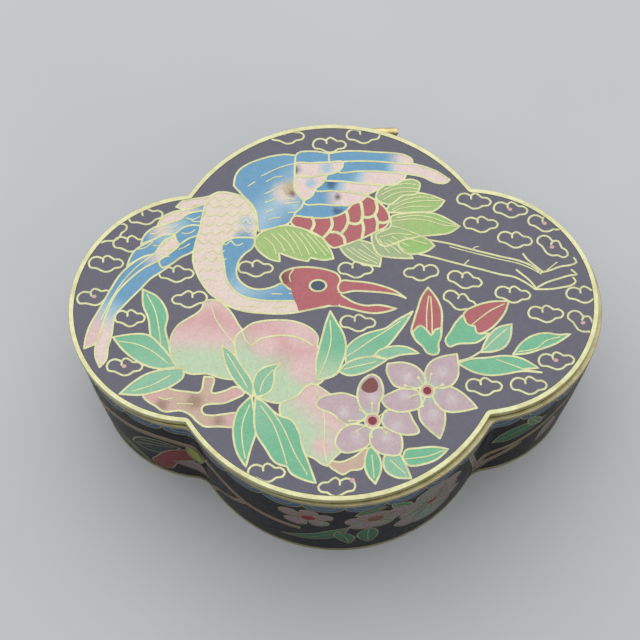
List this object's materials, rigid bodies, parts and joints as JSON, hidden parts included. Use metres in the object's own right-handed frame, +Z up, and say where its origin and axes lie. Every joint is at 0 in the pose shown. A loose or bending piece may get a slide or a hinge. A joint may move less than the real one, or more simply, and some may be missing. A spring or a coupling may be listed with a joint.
{
  "type": "cloisonne enamel box",
  "caption": "Low quatrefoil cloisonne enamel trinket box: brass rims and foot, a flat lid with a crane and peaches picture in wire and enamel, hinged at the back.",
  "frame": {"origin": "on the underside of the foot rim's plane, at the middle of the whole box's outline", "axes": "+Z up, +X along the long side to the right, -Y the front; the hinge is at the back, +Y"},
  "size_m": [0.1068, 0.0852, 0.035],
  "materials": {
    "body_enamel": "glossy black enamel on copper, polished",
    "lid_enamel": "glossy grey-black enamel with coloured cells between wires, polished",
    "brass_rim": "pale gilt brass, softly polished",
    "brass_hinge": "darker brass, dull"
  },
  "bodies": {
    "box": {"body_shell": "body_enamel", "body_rim": "brass_rim", "foot_rim": "brass_rim", "hinge_leaf_body": "brass_hinge", "hinge_pin": "brass_hinge"},
    "lid": {"lid_plate": "lid_enamel", "lid_rim": "brass_rim", "hinge_leaf_lid": "brass_hinge"}
  },
  "joints": [
    {"name": "lid_hinge", "type": "hinge", "parent": "box", "child": "lid", "pos_m": [0.00298, 0.04158, 0.032], "axis": [-1, 0, 0], "range_deg": [0, 100]}
  ]
}
